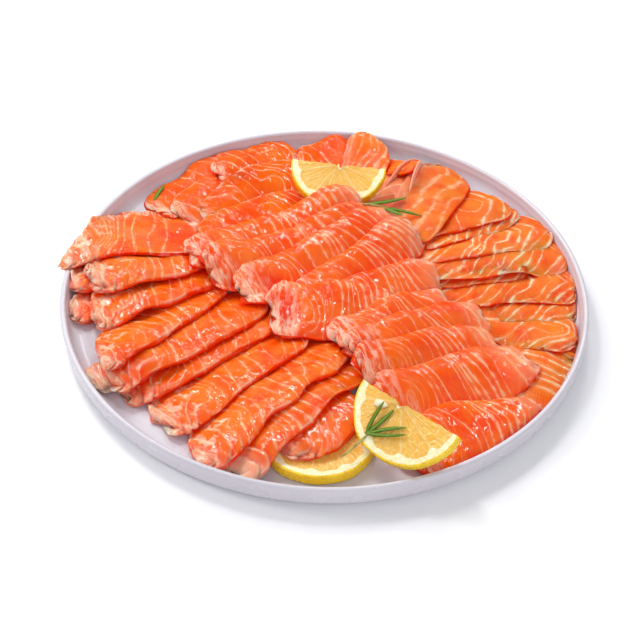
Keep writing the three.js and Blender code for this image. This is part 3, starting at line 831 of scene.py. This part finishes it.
def fold_mesh(food):
    places = np.array([place_in(*place) for place in FOLD])
    part = np.linspace(0, 1, 61)
    steps = np.linspace(0, 1, len(places))
    plan = smoothed(np.column_stack([np.interp(part, steps, places[:, k]) for k in (0, 1)]), 4, 0)
    ground = smoothed(np.array([top_of(food, *place) for place in plan]), 6, 0)
    line = np.column_stack([plan, ground + FOLD_LIFT * np.sin(math.pi * part) - FOLD_SUNK])
    mesh = needle_mesh("slice_east_12_fold", line, FOLD_WIDTH, FOLD_THICK, 0)
    give(mesh, edge_tint=1, pale=0.3)
    return mesh


def make_salmon():
    flesh = flesh_material()
    names = sorted(name for name in frame["nodes"] if name.startswith("salmon"))
    food = tree_of(frame["nodes"][name].data for name in [*names, "plate"])
    for number, name in enumerate(names):
        show(strip_mesh(name, food, number), flesh, "flesh", name)
    show(fold_mesh(food), flesh, "flesh")


# -------- plate

PLATE_SEGMENTS = 320
PLATE_SWAY = 0.22


def arc(middle_r, middle_z, radius, start, stop, steps):
    angles = np.radians(np.linspace(start, stop, steps + 1))
    return [(middle_r + radius * math.cos(a), middle_z + radius * math.sin(a)) for a in angles]


def plate_profile(radius, height):
    """Radius and height of the plate's outline in mm, from under its middle round to the floor's middle."""
    foot, foot_in, foot_out, floor, wall = 2.0, 92.0, 104.0, PLATE_FLOOR, 3.4
    inner = radius - wall - 1
    outline = [(r, foot) for r in np.linspace(0, foot_in - 3, 12)]
    outline += arc(foot_in, foot, 2, 180, 270, 4)
    outline += arc(foot_out, foot, 2, 270, 360, 4)
    outline += [(r, foot) for r in np.linspace(foot_out + 4, radius - 5.5, 8)]
    outline += arc(radius - 5.5, foot + 5, 5, -86, 0, 10)
    outline += [(radius - 0.25, 9), (radius - 0.05, 12)]
    outline += arc(radius - wall / 2, height - wall / 2, wall / 2, 0, 180, 14)
    outline += [(inner + 0.75, 13.2)]
    outline += arc(inner - 7, floor + 7, 7, 0, -90, 12)
    outline += [(r, floor) for r in np.linspace(inner - 12, 0, 18)]
    return np.array(outline)


def plate_mesh():
    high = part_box("plate")[1]
    radius, height = plate_profile(high.x / MM, high.z / MM).T[:, None]
    turn = turns(PLATE_SEGMENTS)[:, None]
    x, y = radius * np.cos(turn), radius * np.sin(turn)
    sway = PLATE_SWAY * ripple(x / 60, y / 60, 31) * held(height / 8)
    z = np.minimum(height + sway * (height > 4.5), high.z / MM)
    mesh = sheet_mesh("plate_body", np.stack([x, y, z], -1) * MM, wrap=True)
    weld(mesh)
    return mesh


def glaze_material():
    n = Nodes("glaze")
    pits = n.noise(n.place, 420, 2, 0.6)
    wave = n.math("ADD", n.noise(n.place, 45, 2), n.times(pits, 0.05))
    cloudy = n.mix(n.clouds(n.place, (14, 3), 0.3, 0.7), (206, 200, 208), (213, 208, 215))
    return n.finish(
        Base_Color=n.mix(n.spread(pits, 0.70, 0.76, 0.0, 0.25), cloudy, (196, 186, 184)),
        Roughness=n.clouds(n.place, (60, 2), 0.3, 0.7, 0.22, 0.34),
        Specular_IOR_Level=0.4,
        Normal=n.bump(wave, 0.0005, 0.25),
    )


# -------- lemon slices

LEMON_STEP = 0.45
LEMON_CORNER = 0.7
PEEL = 1.3
PITH = 2.9

# Node, whether it is whole, place across where its segments meet, directions of their walls in
# degrees, and seed.
LEMONS = [
    ("lemon_whole", True, 0.5, (20, 60, 102, 140, 182, 221, 262, 300, 338), 41),
    ("lemon_half_rear", False, 1.0, (196, 238, 306, 341), 51),
    ("lemon_half_front", False, -6.0, (203, 262, 304, 336), 61),
]
PIP_PLACE = (-14.5, -6.0)
PIP_TURN = math.radians(12)
PIP_HALF_LONG = 3.8
PIP_HALF_WIDE = 2.1
PIP_LIFT = 0.25


class SliceSeat:
    """Where a CAD lemon slice lies: middle of its upper face, its directions, radius and thickness in mm."""

    def __init__(self, node, whole):
        corners, triangles = mesh_arrays(frame["nodes"][node].data)
        a, b, c = (corners[triangles[:, k]] for k in range(3))
        normals = np.cross(b - a, c - a)
        facing = normals[:, 2] > 0.8 * np.linalg.norm(normals, axis=1)
        self.up = normals[facing].sum(0)
        self.up /= np.linalg.norm(self.up)
        height = corners @ self.up
        top = corners[height > height.max() - 0.2]
        self.thick = np.ptp(height)
        if whole:
            self.middle = (top.min(0) + top.max(0)) / 2
            self.right = np.array([1.0, 0, 0])
            self.radius = np.ptp(top[:, 0]) / 2
        else:
            gaps = np.linalg.norm(top[:, None] - top[None], axis=2)
            i, j = np.unravel_index(gaps.argmax(), gaps.shape)
            self.middle = (top[i] + top[j]) / 2
            self.right = (top[j] - top[i]) / gaps.max()
            self.radius = gaps.max() / 2
        self.back = np.cross(self.up, self.right)
        if not whole and (top.mean(0) - self.middle) @ self.back > 0:
            self.right = -self.right
            self.back = -self.back

    def place(self, x, y, z):
        """Points in the shared frame, in metres, from places on the slice in mm."""
        points = self.middle + x[..., None] * self.right + y[..., None] * self.back + z[..., None] * self.up
        return points * MM


def slice_section(radius, thick):
    """Radius and depth of half a slice's outline from its upper middle on, and how many lie on a face."""
    corner = LEMON_CORNER
    count = int((radius - corner) / LEMON_STEP)
    face = np.linspace(0, radius - corner, count)
    turn = np.radians(np.linspace(90, 0, 6)[1:])
    side = np.linspace(-corner, -thick + corner, 7)[1:-1]
    rim = np.concatenate([radius - corner + corner * np.cos(turn), np.full(len(side), radius)])
    rim_z = np.concatenate([-corner + corner * np.sin(turn), side])
    r = np.concatenate([face, rim, rim[:5][::-1], face[::-1]])
    z = np.concatenate([0 * face, rim_z, -thick - rim_z[:5][::-1], 0 * face - thick])
    return r, z, count


def nearest_wall(walls, bearing, from_core):
    """Distance to the nearest wall between segments."""
    gap = np.full(bearing.shape, 1e3)
    for wall in walls:
        away = (bearing - wall + 180) % 360 - 180
        aside = np.abs(from_core * np.sin(np.radians(away)))
        gap = np.minimum(gap, np.where(np.abs(away) < 80, aside, 1e3))
    return gap


def lemon_mesh(node, whole, core, walls, seed):
    seat = SliceSeat(node, whole)
    radius, thick = seat.radius, seat.thick
    section_r, section_z, count = slice_section(radius, thick)
    sweep = math.tau if whole else math.pi
    stations = int(sweep * radius / LEMON_STEP)
    turn = math.pi + np.linspace(0, sweep, stations, endpoint=not whole)
    turn, r = np.meshgrid(turn, section_r, indexing="ij")
    uneven = 1 + 0.012 * ripple(3 * np.cos(turn), 3 * np.sin(turn), seed)
    x = r * np.cos(turn) * uneven
    y = r * np.sin(turn) * uneven
    from_core = np.hypot(x - core, y)
    bearing = np.degrees(np.arctan2(y, x - core)) % 360
    gap = nearest_wall(walls, bearing, from_core)
    inside = radius - r
    scallop = PEEL + PITH + 2.0 * bell(gap, 3.0) + 0.35 * ripple(x / 3, y / 3, seed + 1)
    pith = held((scallop - inside) / 0.7)
    peel = held((PEEL + 0.15 * ripple(x / 2, y / 2, seed + 2) - inside) / 0.5)
    wall_width = 0.38 + 0.12 * ripple(x / 4, y / 4, seed + 3)
    wall_white = 0.35 * held((wall_width + 0.3 - gap) / 0.4)
    core_white = held((1.6 + 0.5 * ripple(x, y, seed + 4) - from_core) / 0.8)
    white = np.maximum(np.maximum(wall_white, core_white), pith)
    streaks = ripple(np.radians(bearing) * 26, from_core / 4.5, seed + 5, 12)
    place = np.arange(len(section_r))
    on_face = (place < count) | (place >= len(section_r) - count)
    facing = np.where(section_z > -thick / 2, 1, -1) * on_face
    z = section_z + (1 - white) * (0.13 * streaks - 0.30) * facing
    if not whole:
        straight = np.minimum(turn - math.pi, math.tau - turn) * r
        cut = 2.4 * bell(x - core, 2.2) + 0.25 * ripple(x / 1.5, 0 * x, seed + 6)
        y = y - np.clip(cut, -0.3, 3) * bell(straight, 4) * (r > 0.5)
    mesh = sheet_mesh(node.replace("lemon", "citrus"), seat.place(x, y, z), wrap=whole)
    give(mesh, pith=white, peel=peel, spoke=np.radians(bearing) * 12, reach=from_core)
    weld(mesh, None if whole else (stations, len(section_r)))
    return mesh, seat


def close_cut(work, rows, columns):
    """Closes the first and last row of a sheet with faces between the two halves of each row."""
    work.verts.ensure_lookup_table()
    middle = columns // 2
    for start, flip in ((0, False), ((rows - 1) * columns, True)):
        rings = [(start + k, start + k + 1, start + columns - 2 - k, start + columns - 1 - k)
                 for k in range(middle - 1)]
        if columns % 2:
            rings.append((start + middle - 1, start + middle, start + middle + 1))
        for ring in rings:
            if len(set(ring)) == len(ring):
                work.faces.new([work.verts[i] for i in (ring if flip else ring[::-1])])


def lemon_material():
    n = Nodes("lemon")
    pith = n["pith"]
    peel = n["peel"]
    flow = n.combined(n["spoke"], n["reach"])
    cell = n.cells(n.scaled(flow, (0.62, 0.17, 1)), 1.0, feature="DISTANCE_TO_EDGE")
    cell = n.spread(cell, 0.0, 0.16)
    pore = n.spread(n.cells(n.place, 620), 0.42, 0.14)
    streak = n.clouds(n.scaled(flow, (1.1, 0.16, 1)), (1.0, 4, 0.65), 0.34, 0.66)
    rough_pith = n.clouds(n.place, (380, 3, 0.7), 0.35, 0.65)
    white = n.mix(rough_pith, (252, 232, 168), (254, 246, 212))
    skin = n.mix(n.clouds(n.place, (90, 2), 0.35, 0.65), (250, 202, 10), (255, 214, 36))
    colour = n.layers(
        n.mix(streak, (248, 182, 64), (252, 202, 100)),
        (n.clouds(n.place, (70, 2), 0.35, 0.7, 0.0, 0.6), (252, 190, 76)),
        (n.math("MULTIPLY_ADD", cell, -0.25, 0.25), (254, 222, 140)),
        (n.spread(pith, 0.1, 0.8), white),
        (n.spread(peel, 0.15, 0.85), n.mix(n.times(pore, 0.55), skin, (214, 168, 0))),
    )
    juice = n.rest(n.math("MAXIMUM", pith, peel))
    height = n.times(juice, n.math("MULTIPLY_ADD", streak, 0.7, n.times(cell, 0.5)))
    height = n.math("ADD", height, n.times(pith, rough_pith, 0.35))
    height = n.math("SUBTRACT", height, n.times(peel, pore, 0.7))
    return n.finish(
        Base_Color=colour,
        Roughness=n.spread(juice, 0.0, 1.0, 0.45, 0.18),
        Subsurface_Weight=0.4,
        Subsurface_Radius=(1.0, 0.7, 0.2),
        Subsurface_Scale=0.003,
        Specular_IOR_Level=0.55,
        Normal=n.bump(height, 0.0006, 0.7),
    )


def pip_mesh(seat):
    """A pointed pip lying half sunk in a slice."""
    turn, end = np.meshgrid(turns(24), np.linspace(0, math.pi, 17), indexing="ij")
    along = -np.cos(end) * PIP_HALF_LONG
    taper = PIP_HALF_WIDE * np.sin(end) * (1 - 0.35 * (along / PIP_HALF_LONG))
    across = taper * np.cos(turn)
    x = PIP_PLACE[0] + along * math.cos(PIP_TURN) - across * math.sin(PIP_TURN)
    y = PIP_PLACE[1] + along * math.sin(PIP_TURN) + across * math.cos(PIP_TURN)
    mesh = sheet_mesh("citrus_pip", seat.place(x, y, 0.75 * taper * np.sin(turn) + PIP_LIFT), wrap=True)
    weld(mesh)
    return mesh


def pip_material():
    n = Nodes("pip")
    tint = n.clouds(n.place, (700, 3), 0.35, 0.65)
    return n.finish(
        Base_Color=n.mix(tint, (246, 226, 172), (255, 246, 218)),
        Roughness=0.3,
        Normal=n.bump(tint, 0.0001, 0.5),
    )


def make_lemons():
    flesh = lemon_material()
    for node, *shape in LEMONS:
        mesh, seat = lemon_mesh(node, *shape)
        show(mesh, flesh, "lemon", node)
    show(pip_mesh(seat), pip_material(), "lemon")


# -------- rosemary

LINE_STEPS = 41
NEEDLE_RING = 20
NEEDLE_THICK = 0.42
NEEDLE_GROOVE = 0.22
STEM_THICK = 0.7

# The blades and the stem of each sprig: foot and tip as parts of its node's box, width and bend in mm.
# A stem's last number is how far above the food its foot starts.
SPRIGS = dict(
    leaf=([((0.1, 0.02), (0.92, 0.98), 2.6, 0.4)], []),
    rear=([
        ((0.02, 0.48), (0.74, 0.98), 3.2, -0.8),
        ((0.36, 0.38), (0.98, 0.28), 2.7, 0.7),
        ((0.36, 0.38), (0.66, 0.03), 3.2, -0.6),
    ], [((0.02, 0.50), (0.40, 0.36), 1.2, 0.3, 0)]),
    front=([
        ((0.36, 0.38), (0.60, 0.84), 2.2, 0.6),
        ((0.36, 0.38), (0.74, 0.72), 2.6, -0.5),
        ((0.36, 0.38), (0.98, 0.98), 2.5, 0.9),
        ((0.36, 0.38), (0.90, 0.34), 2.6, 0.8),
        ((0.36, 0.38), (0.90, 0.20), 2.4, -0.9),
    ], [((0.02, 0.03), (0.44, 0.44), 1.3, -0.6, 3.0)]),
)


def resting_line(food, node, foot, tip, clearance, bend, stiff=0):
    """A line over the food from foot to tip, bowed sideways by bend; a stiff one starts that much higher."""
    part = np.linspace(0, 1, LINE_STEPS)
    foot, tip = place_in(node, *foot), place_in(node, *tip)
    way = tip - foot
    aside = np.array([-way[1], way[0]]) / np.linalg.norm(way)
    plan = foot + part[:, None] * way + np.sin(math.pi * part)[:, None] * aside * bend
    ground = np.array([top_of(food, x, y) for x, y in plan])
    curve = ground[0] + stiff + (ground[-1] - ground[0] - stiff) * part
    if stiff:
        curve += max((ground - curve).max(), 0)
    else:
        curve += np.clip(ground - curve, 0, 3).max() * np.sin(math.pi * held(part * 1.4) / 2)
    return np.column_stack([plan, curve + clearance])


def needle_mesh(name, line, width, thick, groove):
    """A narrow blade along a line, with its edges rolled down and a groove along its middle."""
    part = np.linspace(0, 1, len(line))
    angle = turns(NEEDLE_RING)[::-1]
    across, up = np.cos(angle), np.sin(angle)
    ahead = np.gradient(line, axis=0)
    ahead /= np.linalg.norm(ahead, axis=1, keepdims=True)
    side = np.cross(ahead, [0, 0, 1.0])
    side /= np.linalg.norm(side, axis=1, keepdims=True)
    over = np.cross(side, ahead)
    full = 0.15 + 0.85 * held(part / 0.2) ** 0.6 * held((1 - part) / 0.32) ** 0.6
    full = full[:, None]
    lift = np.where(up > 0, up * thick * (1 - 0.5 * across**2), up * thick * 0.35)
    dip = groove * bell(across, 0.22) * (up > 0)
    height = (lift - dip - 0.25 * thick * across**2) * full
    points = line[:, None] + (across * width / 2 * full)[..., None] * side[:, None]
    points = points + height[..., None] * over[:, None]
    mesh = tube_mesh(name, points * MM)
    along = (part * len(part))[:, None]
    for key, values, last in (("across", across, 0), ("along", along, len(part)), ("up", up, 0)):
        give(mesh, **{key: np.append(np.broadcast_to(values, height.shape), [0, last])})
    weld(mesh)
    return mesh


def leaf_material():
    n = Nodes("leaf")
    flow = n.combined(n["across"], n.times(n["along"], 0.2))
    aside = n.math("ABSOLUTE", n["across"])
    mottle = n.clouds(n.scaled(flow, (3, 1.2, 1)), (1.0, 4, 0.6), 0.35, 0.65)
    colour = n.layers(
        n.mix(mottle, (46, 84, 6), (104, 138, 18)),
        (n.spread(aside, 0.34, 0.12, 0, 0.55), (150, 176, 50)),
        (n.spread(aside, 0.72, 0.98, 0, 0.7), (30, 64, 20)),
        (n.spread(n["up"], -0.1, -0.5), (150, 168, 118)),
    )
    height = n.math("MULTIPLY_ADD", mottle, 0.4, n.times(n.noise(n.place, 900, 3, 0.6), 0.6))
    return n.finish(
        Base_Color=colour,
        Roughness=n.spread(mottle, 0, 1, 0.34, 0.5),
        Specular_IOR_Level=0.25,
        Normal=n.bump(height, 0.0003, 0.6),
    )


def stem_material():
    n = Nodes("stem")
    mottle = n.clouds(n.place, (260, 4, 0.6), 0.35, 0.65)
    colour = n.mix(mottle, (150, 132, 60), (196, 188, 104))
    return n.finish(Base_Color=colour, Roughness=0.5, Normal=n.bump(mottle, 0.0002, 0.6))


def make_rosemary():
    food = tree_of(piece.data for piece in bpy.data.objects if piece.name.startswith(("slice_", "citrus_")))
    leaf, stem = leaf_material(), stem_material()
    for name, (blades, stems) in SPRIGS.items():
        node = "rosemary_" + name
        for number, (foot, tip, width, bend) in enumerate(blades, 1):
            line = resting_line(food, node, foot, tip, 0.35 + 0.15 * number, bend)
            line[:, 2] += 0.8 * np.linspace(0, 1, LINE_STEPS) * (number % 2)
            mesh = needle_mesh(f"{node}_needle_{number}", line, width, NEEDLE_THICK, NEEDLE_GROOVE)
            show(mesh, leaf, "leaf", node)
        for foot, tip, width, bend, stiff in stems:
            line = resting_line(food, node, foot, tip, 0.4, bend, stiff)
            show(needle_mesh(f"{node}_stem", line, width, STEM_THICK, 0), stem, "leaf", node)


# -------- whole scene

make_camera()
for lamp in LAMPS:
    make_lamp(*lamp)
make_sky()
make_floor()
make_salmon()
show(plate_mesh(), glaze_material(), "glaze", "plate")
make_lemons()
make_rosemary()
bpy.context.scene.view_settings.view_transform = "Standard"
